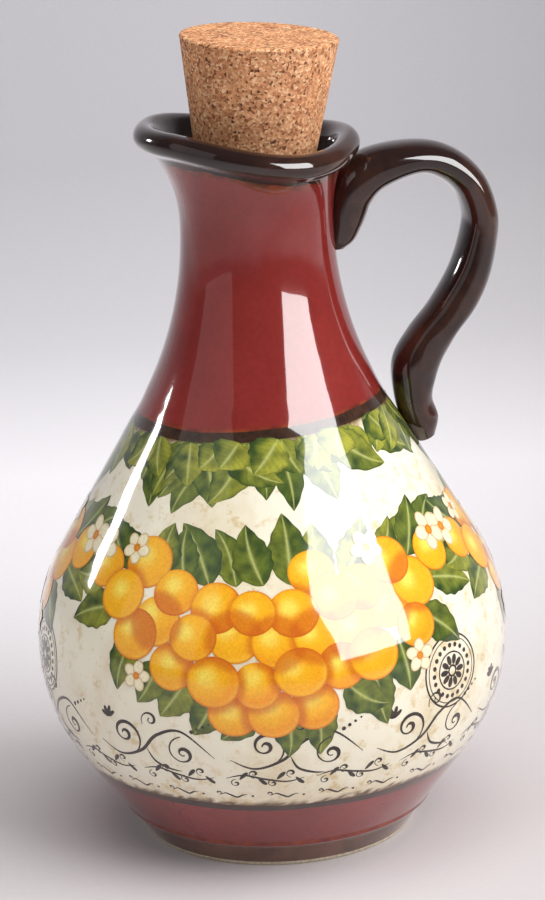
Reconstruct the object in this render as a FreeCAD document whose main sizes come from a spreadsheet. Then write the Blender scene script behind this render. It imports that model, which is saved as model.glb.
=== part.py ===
import FreeCAD, Part
import math
import os

import Sketcher

# A stoneware oil jar with a tapered cork stopper, in millimetres.
#
# Frame: the origin is the centre of the foot ring on the table, +Z runs up the
# axis of the neck, the handle stands towards +X and the spout towards -X.
# Nodes: "jug" is the one piece of glazed stoneware (foot, belly, neck, spout,
# rolled rim and pulled handle), "cork" is the stopper that rests in its throat.

V = FreeCAD.Vector

doc = FreeCAD.newDocument("oil_jar")
sheet = doc.addObject("Spreadsheet::Sheet", "Dimensions")

DIMENSIONS = (
    ("foot_radius", 39.6, "outside of the standing ring on the table"),
    ("foot_inner_radius", 32.0, "inside of the standing ring"),
    ("foot_recess", 2.4, "hollow under the foot"),
    ("foot_top_radius", 43.8, "top of the flared brown foot"),
    ("foot_height", 7.6, "height of the brown foot"),
    ("hem_radius", 45.9, "edge of the glaze roll above the foot"),
    ("hem_height", 9.4, "height of that edge"),
    ("belly_radius", 68.6, "widest radius"),
    ("belly_height", 57.7, "height of the widest ring"),
    ("belly_curve", 54.0, "radius of the belly's arc"),
    ("neck_radius", 21.8, "outside of the neck at its narrowest"),
    ("neck_height", 180.0, "height of the narrowest ring"),
    ("neck_curve", 105.0, "radius of the hollow arc of the shoulder"),
    ("wall", 4.6, "thickness of the thrown wall"),
    ("floor_height", 8.8, "inside floor above the table"),
    ("floor_round", 10.0, "inside corner between floor and wall"),
    ("throat_radius", 15.62, "inside of the throat that grips the cork"),
    ("throat_ledge", 8.6, "height of the throat above the narrowest ring"),
    ("rim_back_radius", 26.4, "rim roll's middle at the handle"),
    ("rim_side_radius", 29.4, "rim roll's middle at the sides"),
    ("spout_reach", 1.0, "how much further the spout's tip stands out"),
    ("rim_low", 200.4, "rim roll's middle at its lowest, at the sides"),
    ("spout_lift", 6.0, "rise of the rim to the spout"),
    ("handle_lift", 1.9, "rise of the rim to the handle"),
    ("roll_radius", 3.5, "half the thickness of the rolled rim"),
    ("bow_x", 46.3, "middle of the handle's bow"),
    ("bow_z", 175.6, "height of that middle"),
    ("bow_radius", 19.3, "radius of the bow's middle line"),
    ("strap_thickness", 10.4, "thickness of the handle's strap"),
    ("strap_width", 17.0, "width of the handle's strap"),
    ("cork_top_radius", 22.4, "top of the stopper"),
    ("cork_length", 50.0, "length of the stopper"),
    ("cork_taper", 9.0, "slope of its side, degrees"),
    ("cork_round", 0.9, "worn edge at its ends"),
    ("cork_top_height", 233.0, "middle of its top face above the table"),
    ("cork_lean", 3.95, "lean of the stopper, degrees"),
    ("cork_lean_towards", -16.0, "direction of the lean, degrees from +X"),
    ("cork_shift", 2.7, "how far the lean carries its top from the axis"),
)
for row, (alias, value, meaning) in enumerate(DIMENSIONS, start=1):
    sheet.set("A%d" % row, alias)
    sheet.set("B%d" % row, str(value))
    sheet.setAlias("B%d" % row, alias)
    sheet.set("C%d" % row, meaning)
doc.recompute()


def dim(alias):
    return float(sheet.get(alias))


def origin_feature(body, role):
    return [f for f in body.Origin.OriginFeatures if f.Role == role][0]


def make_body(name, label):
    body = doc.addObject("PartDesign::Body", name)
    body.Label = label
    sketch = body.newObject("Sketcher::SketchObject", name + "_outline")
    sketch.AttachmentSupport = [(origin_feature(body, "YZ_Plane"), "")]
    sketch.MapMode = "FlatFace"
    return body, sketch


def add_constraint(sketch, *args):
    return sketch.addConstraint(Sketcher.Constraint(*args))


def fix_distance(sketch, kind, geometry, vertex, expression, value):
    """Hold a vertex at a distance from the sketch's origin, bound to the sheet."""
    index = add_constraint(sketch, kind, -1, 1, geometry, vertex, value)
    sketch.setExpression("Constraints[%d]" % index, expression)


def fix_point(sketch, geometry, vertex, x_expression, y_expression, x, y):
    fix_distance(sketch, "DistanceX", geometry, vertex, x_expression, x)
    fix_distance(sketch, "DistanceY", geometry, vertex, y_expression, y)


def fix_radius(sketch, geometry, expression, value):
    index = add_constraint(sketch, "Radius", geometry, value)
    sketch.setExpression("Constraints[%d]" % index, expression)


def revolve(body, sketch, name):
    turned = body.newObject("PartDesign::Revolution", name)
    turned.Profile = sketch
    turned.ReferenceAxis = (sketch, ["V_Axis"])
    turned.Angle = 360.0
    sketch.Visibility = False
    doc.recompute()
    return turned


# --- the thrown pot: foot, belly and neck up to its narrowest ring ----------

def inner_tangent(centre_low, radius_low, centre_high, radius_high):
    """The straight shoulder that touches a belly arc and a hollow neck arc."""
    between = centre_high - centre_low
    turn = math.acos((radius_low + radius_high) / between.Length)
    angle = math.atan2(between.y, between.x) - turn
    normal = V(math.cos(angle), math.sin(angle), 0)
    return centre_low + normal * radius_low, centre_high - normal * radius_high, angle


def lower_tangent(point, centre, radius):
    """Where a straight wall from a point below touches the belly arc."""
    to_point = point - centre
    angle = math.atan2(to_point.y, to_point.x) + math.acos(radius / to_point.Length)
    return centre + V(math.cos(angle), math.sin(angle), 0) * radius, angle


def arc(centre, radius, start, end):
    return Part.ArcOfCircle(Part.Circle(centre, V(0, 0, 1), radius), start, end)


pot, outline = make_body("Pot", "pot")

belly_centre = V(dim("belly_radius") - dim("belly_curve"), dim("belly_height"), 0)
neck_centre = V(dim("neck_radius") + dim("neck_curve"), dim("neck_height"), 0)
hem = V(dim("hem_radius"), dim("hem_height"), 0)
foot_top = V(dim("foot_top_radius"), dim("foot_height"), 0)
foot_edge = V(dim("foot_radius"), 0, 0)
ring_inner = V(dim("foot_inner_radius"), 0, 0)
recess_corner = V(dim("foot_inner_radius"), dim("foot_recess"), 0)
recess_middle = V(0, dim("foot_recess"), 0)
floor_middle = V(0, dim("floor_height"), 0)
neck_outer = V(dim("neck_radius"), dim("neck_height"), 0)
neck_inner = V(dim("throat_radius"), dim("neck_height"), 0)

belly_inner_curve = dim("belly_curve") - dim("wall")
neck_inner_curve = neck_centre.x - dim("throat_radius")
wall_start, wall_angle = lower_tangent(hem, belly_centre, dim("belly_curve"))
shoulder_low, shoulder_high, shoulder_angle = inner_tangent(
    belly_centre, dim("belly_curve"), neck_centre, dim("neck_curve"))
inner_low, inner_high, inner_angle = inner_tangent(
    belly_centre, belly_inner_curve, neck_centre, neck_inner_curve)

# Inside, the wall runs parallel to the outside one down to a round corner.
wall_out = V(math.cos(wall_angle), math.sin(wall_angle), 0)
wall_down = V(math.sin(wall_angle), -math.cos(wall_angle), 0)
inner_wall_start = belly_centre + wall_out * belly_inner_curve
corner_line = belly_centre + wall_out * (belly_inner_curve - dim("floor_round"))
corner_y = dim("floor_height") + dim("floor_round")
corner_centre = corner_line + wall_down * ((corner_y - corner_line.y) / wall_down.y)
inner_wall_end = corner_centre + wall_out * dim("floor_round")
corner_bottom = V(corner_centre.x, dim("floor_height"), 0)

segments = [
    Part.LineSegment(ring_inner, foot_edge),
    Part.LineSegment(foot_edge, foot_top),
    Part.LineSegment(foot_top, hem),
    Part.LineSegment(hem, wall_start),
    arc(belly_centre, dim("belly_curve"), wall_angle, shoulder_angle),
    Part.LineSegment(shoulder_low, shoulder_high),
    arc(neck_centre, dim("neck_curve"), math.pi, math.pi + shoulder_angle),
    Part.LineSegment(neck_outer, neck_inner),
    arc(neck_centre, neck_inner_curve, math.pi, math.pi + inner_angle),
    Part.LineSegment(inner_high, inner_low),
    arc(belly_centre, belly_inner_curve, wall_angle, inner_angle),
    Part.LineSegment(inner_wall_start, inner_wall_end),
    arc(corner_centre, dim("floor_round"), 1.5 * math.pi, 2 * math.pi + wall_angle),
    Part.LineSegment(corner_bottom, floor_middle),
    Part.LineSegment(floor_middle, recess_middle),
    Part.LineSegment(recess_middle, recess_corner),
    Part.LineSegment(recess_corner, ring_inner),
]
(RING, FOOT, HEM, WALL, BELLY, SHOULDER, NECK, MOUTH, NECK_IN, SHOULDER_IN,
 BELLY_IN, WALL_IN, CORNER, FLOOR, AXIS, RECESS, RING_IN) = range(len(segments))
START, END, CENTRE = 1, 2, 3
outline.addGeometry(segments, False)

# Plain corners first, then the smooth joints.
for first, first_end, second, second_end in (
        (RING, END, FOOT, START), (FOOT, END, HEM, START), (HEM, END, WALL, START),
        (NECK, START, MOUTH, START), (MOUTH, END, NECK_IN, START),
        (FLOOR, END, AXIS, START), (AXIS, END, RECESS, START),
        (RECESS, END, RING_IN, START), (RING_IN, END, RING, START)):
    add_constraint(outline, "Coincident", first, first_end, second, second_end)
for first, first_end, second, second_end in (
        (WALL, END, BELLY, START), (BELLY, END, SHOULDER, START), (SHOULDER, END, NECK, END),
        (NECK_IN, END, SHOULDER_IN, START), (SHOULDER_IN, END, BELLY_IN, END),
        (BELLY_IN, START, WALL_IN, START), (WALL_IN, END, CORNER, END),
        (CORNER, START, FLOOR, START)):
    add_constraint(outline, "Tangent", first, first_end, second, second_end)
add_constraint(outline, "Coincident", BELLY, CENTRE, BELLY_IN, CENTRE)
add_constraint(outline, "Coincident", NECK, CENTRE, NECK_IN, CENTRE)
for level in (RING, FLOOR, RECESS):
    add_constraint(outline, "Horizontal", level)
add_constraint(outline, "Vertical", RING_IN)
add_constraint(outline, "Parallel", WALL, WALL_IN)
add_constraint(outline, "PointOnObject", AXIS, START, -2)
add_constraint(outline, "PointOnObject", AXIS, END, -2)
add_constraint(outline, "PointOnObject", RING, START, -1)
SHEET = "Dimensions."
fix_distance(outline, "DistanceX", RING, START, SHEET + "foot_inner_radius", ring_inner.x)
fix_distance(outline, "DistanceX", RING, END, SHEET + "foot_radius", foot_edge.x)
fix_point(outline, FOOT, END, SHEET + "foot_top_radius", SHEET + "foot_height", foot_top.x, foot_top.y)
fix_point(outline, HEM, END, SHEET + "hem_radius", SHEET + "hem_height", hem.x, hem.y)
fix_point(outline, BELLY, CENTRE, SHEET + "belly_radius - " + SHEET + "belly_curve",
          SHEET + "belly_height", belly_centre.x, belly_centre.y)
fix_radius(outline, BELLY, SHEET + "belly_curve", dim("belly_curve"))
fix_radius(outline, BELLY_IN, SHEET + "belly_curve - " + SHEET + "wall", belly_inner_curve)
fix_point(outline, NECK, CENTRE, SHEET + "neck_radius + " + SHEET + "neck_curve",
          SHEET + "neck_height", neck_centre.x, neck_centre.y)
fix_point(outline, NECK, START, SHEET + "neck_radius", SHEET + "neck_height",
          neck_outer.x, neck_outer.y)
fix_point(outline, NECK_IN, START, SHEET + "throat_radius", SHEET + "neck_height",
          neck_inner.x, neck_inner.y)
fix_distance(outline, "DistanceY", FLOOR, END, SHEET + "floor_height", floor_middle.y)
fix_radius(outline, CORNER, SHEET + "floor_round", dim("floor_round"))
fix_distance(outline, "DistanceY", RECESS, END, SHEET + "foot_recess", recess_corner.y)
doc.recompute()
revolve(pot, outline, "Thrown_wall")


# --- the mouth: flared wall, spout and rolled rim ----------------------------

def smooth_step(value, low, high):
    share = min(max((value - low) / (high - low), 0.0), 1.0)
    return share * share * (3.0 - 2.0 * share)


def rim_middle(turn):
    """Radius and height of the rim roll's middle, at degrees from the handle."""
    away = abs((turn + 180.0) % 360.0 - 180.0)
    radius = dim("rim_back_radius")
    radius += (dim("rim_side_radius") - dim("rim_back_radius")) * smooth_step(away, 25.0, 90.0)
    radius += dim("spout_reach") * smooth_step(away, 140.0, 180.0)
    height = dim("rim_low") + dim("spout_lift") * smooth_step(away, 68.0, 155.0)
    height += dim("handle_lift") * (1.0 - smooth_step(away, 0.0, 68.0))
    return radius, height


def flare_point(turn, share):
    """The outside of the flared wall, between the neck and the rim's underside."""
    radius, height = rim_middle(turn)
    top_radius = radius - 0.35 * dim("roll_radius")
    top_height = height - 1.25 * dim("roll_radius")
    return (dim("neck_radius") + (top_radius - dim("neck_radius")) * share ** 2.2,
            dim("neck_height") + (top_height - dim("neck_height")) * share)


def roll_point(turn, angle):
    """A point round the rolled rim, at degrees above the horizontal outside."""
    radius, height = rim_middle(turn)
    reach = dim("roll_radius")
    return (radius + reach * math.cos(math.radians(angle)),
            height + reach * math.sin(math.radians(angle)))


def inside_point(turn, share):
    """The inside of the mouth, from the rolled rim down to the throat's ledge."""
    radius, height = rim_middle(turn)
    top_radius = radius - 1.1 * dim("roll_radius")
    ledge = dim("neck_height") + dim("throat_ledge")
    return (dim("throat_radius") + (top_radius - dim("throat_radius")) * share ** 0.8,
            ledge + (height - ledge) * share ** 1.7)


def ring_wire(point, steps=24):
    """A closed smooth ring through the point that a rule gives for each turn."""
    spots = []
    for step in range(steps):
        turn = 90.0 + 360.0 * step / steps
        radius, height = point(turn)
        spots.append(V(radius * math.cos(math.radians(turn)),
                       radius * math.sin(math.radians(turn)), height))
    curve = Part.BSplineCurve()
    curve.interpolate(Points=spots, PeriodicFlag=True)
    return Part.Wire(curve.toShape())


def circle_wire(radius, height):
    """A level ring that starts at +Y, away from the handle."""
    ring = Part.Circle(V(0, 0, height), V(0, 0, 1), radius)
    ring.rotate(FreeCAD.Placement(V(0, 0, 0), FreeCAD.Rotation(V(0, 0, 1), 90)))
    return Part.Wire(ring.toShape())


def skin_between(rings):
    return Part.makeLoft(rings, False, False, False).Faces


def make_mouth():
    """Outer flare, rolled rim and inside as three skins that share their edges."""
    neck_ring = circle_wire(dim("neck_radius"), dim("neck_height"))
    throat_ring = circle_wire(dim("throat_radius"), dim("neck_height"))
    ledge_ring = circle_wire(dim("throat_radius"), dim("neck_height") + dim("throat_ledge"))
    flare = [ring_wire(lambda turn, s=s: flare_point(turn, s)) for s in (0.2, 0.4, 0.6, 0.8)]
    under_roll = ring_wire(lambda turn: flare_point(turn, 1.0))
    roll = [ring_wire(lambda turn, a=a: roll_point(turn, a)) for a in range(-60, 151, 30)]
    inner_lip = ring_wire(lambda turn: inside_point(turn, 1.0))
    inside = [ring_wire(lambda turn, s=s: inside_point(turn, s)) for s in (0.8, 0.6, 0.4, 0.2)]
    faces = skin_between([neck_ring] + flare + [under_roll])
    faces += skin_between([under_roll] + roll + [inner_lip])
    faces += skin_between([inner_lip] + inside + [ledge_ring])
    faces += skin_between([ledge_ring, throat_ring])
    faces += Part.makeFace([neck_ring, throat_ring], "Part::FaceMakerBullseye").Faces
    shell = Part.makeShell(faces)
    shell.sewShape()
    solid = Part.makeSolid(shell)
    if solid.Volume < 0:
        solid.reverse()
    return solid


mouth = doc.addObject("Part::Feature", "Mouth")
mouth.Shape = make_mouth()


# --- the pulled handle -------------------------------------------------------

def strap_section(x, z, facing, half_thickness, half_width):
    """A closed oval across the strap. Facing is the direction, in degrees, from
    the side that meets the fingers to the outer side."""
    out = V(math.cos(math.radians(facing)), 0, math.sin(math.radians(facing)))
    across = V(0, 1, 0)
    spots = []
    for step in range(12):
        turn = 2.0 * math.pi * step / 12
        spots.append(V(x, 0, z) + out * (half_thickness * math.cos(turn))
                     + across * (half_width * math.sin(turn)))
    curve = Part.BSplineCurve()
    curve.interpolate(Points=spots, PeriodicFlag=True)
    return Part.Wire(curve.toShape())


def make_handle():
    thick = 0.5 * dim("strap_thickness")
    wide = 0.5 * dim("strap_width")
    # The upper end, pressed flat on the neck with its tail pointing down.
    stations = [
        (22.3, 169.6, 180.0, 1.6, 2.4),
        (23.6, 171.8, 178.0, 3.7, 4.6),
        (24.9, 176.5, 172.0, 5.2, 6.4),
        (26.3, 182.6, 149.0, 6.4, 7.4),
        (29.3, 188.4, 124.0, 6.9, 8.0),
        (35.4, 192.7, 103.0, 6.2, 8.4),
    ]
    # The bow that two fingers go under.
    for facing in (88.0, 62.0, 35.0, 8.0, -12.0):
        stations.append((dim("bow_x") + dim("bow_radius") * math.cos(math.radians(facing)),
                         dim("bow_z") + dim("bow_radius") * math.sin(math.radians(facing)),
                         facing, thick, wide))
    # The lower end, pinched by the thumb and smeared down the shoulder.
    stations += [
        (60.7, 159.6, -32.0, thick + 0.4, wide),
        (54.6, 148.2, -46.0, thick + 0.9, wide - 0.3),
        (48.6, 140.2, -42.0, 6.9, 8.4),
        (44.9, 132.6, -28.0, 7.2, 7.8),
        (44.6, 124.8, -8.0, 5.5, 6.6),
        (46.4, 117.2, 12.0, 4.9, 5.9),
        (48.0, 112.2, 22.0, 2.6, 3.2),
    ]
    return Part.makeLoft([strap_section(*station) for station in stations], True, False, False)


handle = doc.addObject("Part::Feature", "Handle")
handle.Shape = make_handle()

upper = doc.addObject("Part::Fuse", "Mouth_and_handle")
upper.Base = mouth
upper.Tool = handle
jug = doc.addObject("Part::Fuse", "Jug")
jug.Label = "jug"
jug.Base = pot
jug.Tool = upper
doc.recompute()

# --- the cork ----------------------------------------------------------------

cork, side = make_body("Cork", "cork")
taper = math.tan(math.radians(dim("cork_taper")))
cork_bottom_radius = dim("cork_top_radius") - dim("cork_length") * taper
corners = [V(0, -dim("cork_length"), 0), V(cork_bottom_radius, -dim("cork_length"), 0),
           V(dim("cork_top_radius"), 0, 0), V(0, 0, 0)]
side.addGeometry([Part.LineSegment(corners[k], corners[(k + 1) % 4]) for k in range(4)], False)
for k in range(4):
    add_constraint(side, "Coincident", k, END, (k + 1) % 4, START)
add_constraint(side, "Horizontal", 0)
add_constraint(side, "Horizontal", 2)
add_constraint(side, "Coincident", 2, END, -1, 1)
add_constraint(side, "PointOnObject", 0, START, -2)
index = add_constraint(side, "DistanceX", -1, 1, 1, END, dim("cork_top_radius"))
side.setExpression("Constraints[%d]" % index, SHEET + "cork_top_radius")
index = add_constraint(side, "DistanceY", 0, START, -1, 1, dim("cork_length"))
side.setExpression("Constraints[%d]" % index, SHEET + "cork_length")
index = add_constraint(side, "DistanceX", -1, 1, 0, END, cork_bottom_radius)
side.setExpression("Constraints[%d]" % index, SHEET + "cork_top_radius - " + SHEET
                   + "cork_length * tan(" + SHEET + "cork_taper * 1deg)")
turned_cork = revolve(cork, side, "Turned_cork")
worn = cork.newObject("PartDesign::Fillet", "Worn_edges")
worn.Base = (turned_cork, [
    "Edge%d" % number for number, edge in enumerate(turned_cork.Shape.Edges, start=1)
    if edge.Curve.TypeId == "Part::GeomCircle"])
worn.setExpression("Radius", SHEET + "cork_round")
turned_cork.Visibility = False
doc.recompute()

# Its top face is known; the stopper leans a little towards the handle.
lean_towards = math.radians(dim("cork_lean_towards"))
lean_axis = V(-math.sin(lean_towards), math.cos(lean_towards), 0)
cork_top = V(dim("cork_shift") * math.cos(lean_towards),
             dim("cork_shift") * math.sin(lean_towards), dim("cork_top_height"))
cork.Placement = FreeCAD.Placement(cork_top, FreeCAD.Rotation(lean_axis, dim("cork_lean")))
doc.recompute()

# --- checks and export -------------------------------------------------------

for item in doc.Objects:
    if "Invalid" in item.State or "Error" in item.State:
        raise RuntimeError("%s did not build: %s" % (item.Name, item.State))

os.makedirs("parts", exist_ok=True)
for piece in (jug, cork):
    shape = piece.Shape
    if shape.isNull() or not shape.isValid() or len(shape.Solids) != 1:
        raise RuntimeError("%s is not one valid solid" % piece.Label)
    shape.exportStep("parts/%s.step" % piece.Label)
    box = shape.BoundBox
    print("%s: %.1f cm3, x %.2f to %.2f, y %.2f to %.2f, z %.2f to %.2f" % (
        piece.Label, shape.Volume / 1000.0, box.XMin, box.XMax, box.YMin, box.YMax,
        box.ZMin, box.ZMax))
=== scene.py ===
import math
import random
from bisect import bisect_left, bisect_right

import bmesh
import bpy
from mathutils import Matrix, Vector, noise


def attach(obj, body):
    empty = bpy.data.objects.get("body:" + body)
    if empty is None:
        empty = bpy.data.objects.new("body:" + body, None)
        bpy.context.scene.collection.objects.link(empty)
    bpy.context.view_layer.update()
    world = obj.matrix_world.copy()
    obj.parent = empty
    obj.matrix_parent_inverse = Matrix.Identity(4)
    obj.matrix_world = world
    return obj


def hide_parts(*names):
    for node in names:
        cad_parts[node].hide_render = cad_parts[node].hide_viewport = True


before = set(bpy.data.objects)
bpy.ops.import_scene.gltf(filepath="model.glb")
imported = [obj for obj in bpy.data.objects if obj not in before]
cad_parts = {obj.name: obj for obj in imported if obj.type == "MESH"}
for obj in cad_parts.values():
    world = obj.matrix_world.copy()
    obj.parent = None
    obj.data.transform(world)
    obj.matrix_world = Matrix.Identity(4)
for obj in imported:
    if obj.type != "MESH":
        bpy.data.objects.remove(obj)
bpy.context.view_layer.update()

# An oil jar of glazed stoneware with a tapered cork. Lengths in this script are
# millimetres on the object and are turned to metres where meshes are made.
# +X is the handle's side, -X the spout's, +Z up the neck.

MM = 0.001

# Sizes of the thrown pot, the same as the model's.
FOOT_RADIUS, FOOT_INNER, FOOT_RECESS = 39.6, 32.0, 2.4
FOOT_TOP, FOOT_HEIGHT = 43.8, 7.6
HEM_RADIUS, HEM_HEIGHT = 45.9, 9.4
BELLY_RADIUS, BELLY_HEIGHT, BELLY_CURVE = 68.6, 57.7, 54.0
NECK_RADIUS, NECK_HEIGHT, NECK_CURVE = 21.8, 180.0, 105.0
WALL, FLOOR_HEIGHT = 4.6, 8.8
THROAT_RADIUS, THROAT_LEDGE = 15.62, 8.6
RIM_BACK, RIM_SIDE, SPOUT_REACH = 26.4, 29.4, 1.0
RIM_LOW, SPOUT_LIFT, HANDLE_LIFT, ROLL = 200.4, 6.0, 1.9, 3.5
BOW_X, BOW_Z, BOW_RADIUS = 46.3, 175.6, 19.3
STRAP_THICKNESS, STRAP_WIDTH = 10.4, 17.0
CORK_TOP_RADIUS, CORK_LENGTH, CORK_TAPER = 22.4, 50.0, 9.0
CORK_TOP_HEIGHT, CORK_LEAN, CORK_TOWARDS, CORK_SHIFT = 233.0, 3.95, -16.0, 2.7

# The side that carries the painted spray, in degrees round from the handle.
FRONT = -103.0


# --- small helpers -----------------------------------------------------------

def colour(red, green, blue):
    """A colour given as on a paint chart, 0 to 255, turned to linear light."""
    def linear(value):
        share = value / 255.0
        return share / 12.92 if share <= 0.04045 else ((share + 0.055) / 1.055) ** 2.4
    return (linear(red), linear(green), linear(blue), 1.0)


def mix(first, second, share):
    share = min(max(share, 0.0), 1.0)
    return tuple(a + (b - a) * share for a, b in zip(first, second))


def smooth_step(value, low, high):
    share = min(max((value - low) / (high - low), 0.0), 1.0)
    return share * share * (3.0 - 2.0 * share)


def turned(radius, degrees, height):
    angle = math.radians(degrees)
    return (radius * math.cos(angle) * MM, radius * math.sin(angle) * MM, height * MM)


def put_in_scene(name, data):
    made = bpy.data.objects.new(name, data)
    bpy.context.scene.collection.objects.link(made)
    return made


def smooth_object(name, mesh):
    mesh.polygons.foreach_set("use_smooth", [True] * len(mesh.polygons))
    return put_in_scene(name, mesh)


def new_piece(name, verts, faces, materials, slots=None, paints=None):
    """A mesh object at the origin, smooth, with its finish and its paint."""
    mesh = bpy.data.meshes.new(name)
    mesh.from_pydata(verts, [], faces)
    for material in materials:
        mesh.materials.append(material)
    if slots:
        mesh.polygons.foreach_set("material_index", slots)
    if paints:
        layer = mesh.color_attributes.new("paint", "FLOAT_COLOR", "POINT")
        layer.data.foreach_set("color", [part for paint in paints for part in paint])
    return smooth_object(name, mesh)


def grid_faces(rows, width, start=0):
    """Faces between points that are laid row by row."""
    corners = [start + row * width + step for row in range(rows - 1) for step in range(width - 1)]
    return [(corner, corner + 1, corner + width + 1, corner + width) for corner in corners]


def close_shell(piece):
    """Merge doubled points and turn every face outward."""
    shell = bmesh.new()
    shell.from_mesh(piece.data)
    bmesh.ops.remove_doubles(shell, verts=shell.verts, dist=1e-7)
    bmesh.ops.recalc_face_normals(shell, faces=shell.faces)
    shell.to_mesh(piece.data)
    shell.free()


def finish_piece(piece, slot_name, *nodes):
    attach(piece, "root")
    if nodes:
        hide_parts(*nodes)


# --- finishes ----------------------------------------------------------------

def wire(tree, node, inputs):
    """Set a node's inputs, or link them where the value is another node's socket."""
    for key, value in inputs.items():
        if isinstance(value, bpy.types.NodeSocket):
            tree.links.new(value, node.inputs[key])
        else:
            node.inputs[key].default_value = value


def add_node(tree, kind, inputs=None, **settings):
    made = tree.nodes.new(kind)
    for key, value in settings.items():
        setattr(made, key, value)
    wire(tree, made, inputs or {})
    return made


def start_material(name):
    material = bpy.data.materials.new(name)
    material.use_nodes = True
    tree = material.node_tree
    return material, tree, tree.nodes["Principled BSDF"]


def object_place(tree):
    return add_node(tree, "ShaderNodeTexCoord").outputs["Object"]


def object_noise(tree, scale, detail=3.0, roughness=0.5):
    return add_node(tree, "ShaderNodeTexNoise", {
        "Vector": object_place(tree), "Scale": scale, "Detail": detail,
        "Roughness": roughness}).outputs["Fac"]


def tone_ramp(tree, factor, stops):
    """Colours along a ramp, from (position, colour) stops."""
    ramp = add_node(tree, "ShaderNodeValToRGB", {"Fac": factor})
    elements = ramp.color_ramp.elements
    while len(elements) < len(stops):
        elements.new(0.5)
    for element, (position, tone) in zip(elements, stops):
        element.position = position
        element.color = tone
    return ramp.outputs["Color"]


def two_tone(tree, factor, first, second, low=0.35, high=0.65):
    return tone_ramp(tree, factor, ((low, first), (high, second)))


def add_bump(tree, shader, height, strength, distance):
    bump = add_node(tree, "ShaderNodeBump", {"Height": height, "Strength": strength,
                                             "Distance": distance})
    wire(tree, shader, {"Normal": bump.outputs["Normal"]})
    return bump.outputs["Normal"]


def paint_colour(tree):
    return add_node(tree, "ShaderNodeAttribute", attribute_name="paint").outputs["Color"]


def blend_tones(tree, how, factor, first, second):
    # Sockets 6 and 7 are the mix node's two colours, output 2 is their blend.
    return add_node(tree, "ShaderNodeMix", {"Factor": factor, 6: first, 7: second},
                    data_type="RGBA", blend_type=how).outputs[2]


def multiply(tree, first, second):
    return blend_tones(tree, "MULTIPLY", 1.0, first, second)


def grey(red, green, blue):
    """A plain factor close to 1, by which a colour is made darker or lighter."""
    return (red, green, blue, 1.0)


def glaze(name, base_tone):
    """Hard clear gloss over slightly uneven clay. base_tone makes its colour."""
    material, tree, shader = start_material(name)
    uneven = add_bump(tree, shader, object_noise(tree, 42.0, 1.5, 0.4), 0.10, 0.004)
    wire(tree, shader, {"Base Color": base_tone(tree), "Roughness": 0.12, "IOR": 1.5,
                        "Specular IOR Level": 0.15, "Coat Weight": 1.0, "Coat Roughness": 0.02,
                        "Coat IOR": 1.52, "Coat Normal": uneven})
    return material


def plain_tone(dark, light, scale, low=0.35, high=0.65):
    """One glaze that drifts between a darker and a lighter tone."""
    return lambda tree: two_tone(tree, object_noise(tree, scale, 4.0, 0.55), dark, light, low, high)


def red_tone(tree):
    """Wine red with fine speckle, turning to a rusty brown where the paint says so: under the rim,
    above the upper line and in a band along the hem.
    """
    drift = two_tone(tree, object_noise(tree, 24.0, 4.0), colour(120, 36, 33), colour(140, 47, 42))
    speckle = two_tone(tree, object_noise(tree, 620.0, 2.0), grey(0.94, 0.93, 0.93),
                       grey(1.05, 1.04, 1.03))
    rust = two_tone(tree, object_noise(tree, 240.0, 4.0), colour(62, 32, 20), colour(150, 74, 34))
    split = add_node(tree, "ShaderNodeSeparateColor", {"Color": paint_colour(tree)})
    return blend_tones(tree, "MIX", split.outputs["Red"], multiply(tree, drift, speckle), rust)


def painted_tone(tree):
    """Underglaze paint, its colour kept in the piece's own paint attribute."""
    speckle = two_tone(tree, object_noise(tree, 1500.0, 2.0), grey(0.90, 0.90, 0.90),
                       grey(1.04, 1.04, 1.04))
    return multiply(tree, paint_colour(tree), speckle)


def cream_tone(tree):
    """Cream ground with tea-like stains, the paint attribute burning its edges."""
    cloud = two_tone(tree, object_noise(tree, 30.0, 6.0, 0.62), colour(228, 213, 180),
                     colour(243, 236, 214), 0.36, 0.52)
    fleck = two_tone(tree, object_noise(tree, 210.0, 5.0, 0.7), colour(236, 222, 194),
                     grey(1.0, 1.0, 1.0), 0.34, 0.46)
    return multiply(tree, multiply(tree, cloud, fleck), paint_colour(tree))


def bare_clay(name):
    material, tree, shader = start_material(name)
    grit = object_noise(tree, 900.0)
    wire(tree, shader, {"Base Color": two_tone(tree, grit, colour(182, 166, 140),
                                               colour(220, 207, 184)), "Roughness": 0.8})
    add_bump(tree, shader, grit, 0.3, 0.0003)
    return material


def cork_finish(name, tones):
    """Pressed cork: angular grains in several browns, open pores between."""
    material, tree, shader = start_material(name)
    place = object_place(tree)
    warp = add_node(tree, "ShaderNodeTexNoise", {"Vector": place, "Scale": 900.0})
    shift = add_node(tree, "ShaderNodeVectorMath", {
        0: warp.outputs["Color"], 1: (0.0014, 0.0014, 0.0014), 2: place}, operation="MULTIPLY_ADD")
    grains = add_node(tree, "ShaderNodeTexVoronoi", {"Vector": shift.outputs["Vector"],
                                                     "Scale": 1500.0})
    pick = add_node(tree, "ShaderNodeSeparateColor", {"Color": grains.outputs["Color"]})
    cloud = two_tone(tree, object_noise(tree, 160.0), grey(0.84, 0.82, 0.80),
                     grey(1.06, 1.05, 1.04))
    browns = tone_ramp(tree, pick.outputs["Red"], tones)
    wire(tree, shader, {"Base Color": multiply(tree, browns, cloud), "Roughness": 0.78,
                        "Specular IOR Level": 0.25})
    add_bump(tree, shader, pick.outputs["Green"], 0.6, 0.0005)
    return material


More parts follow.
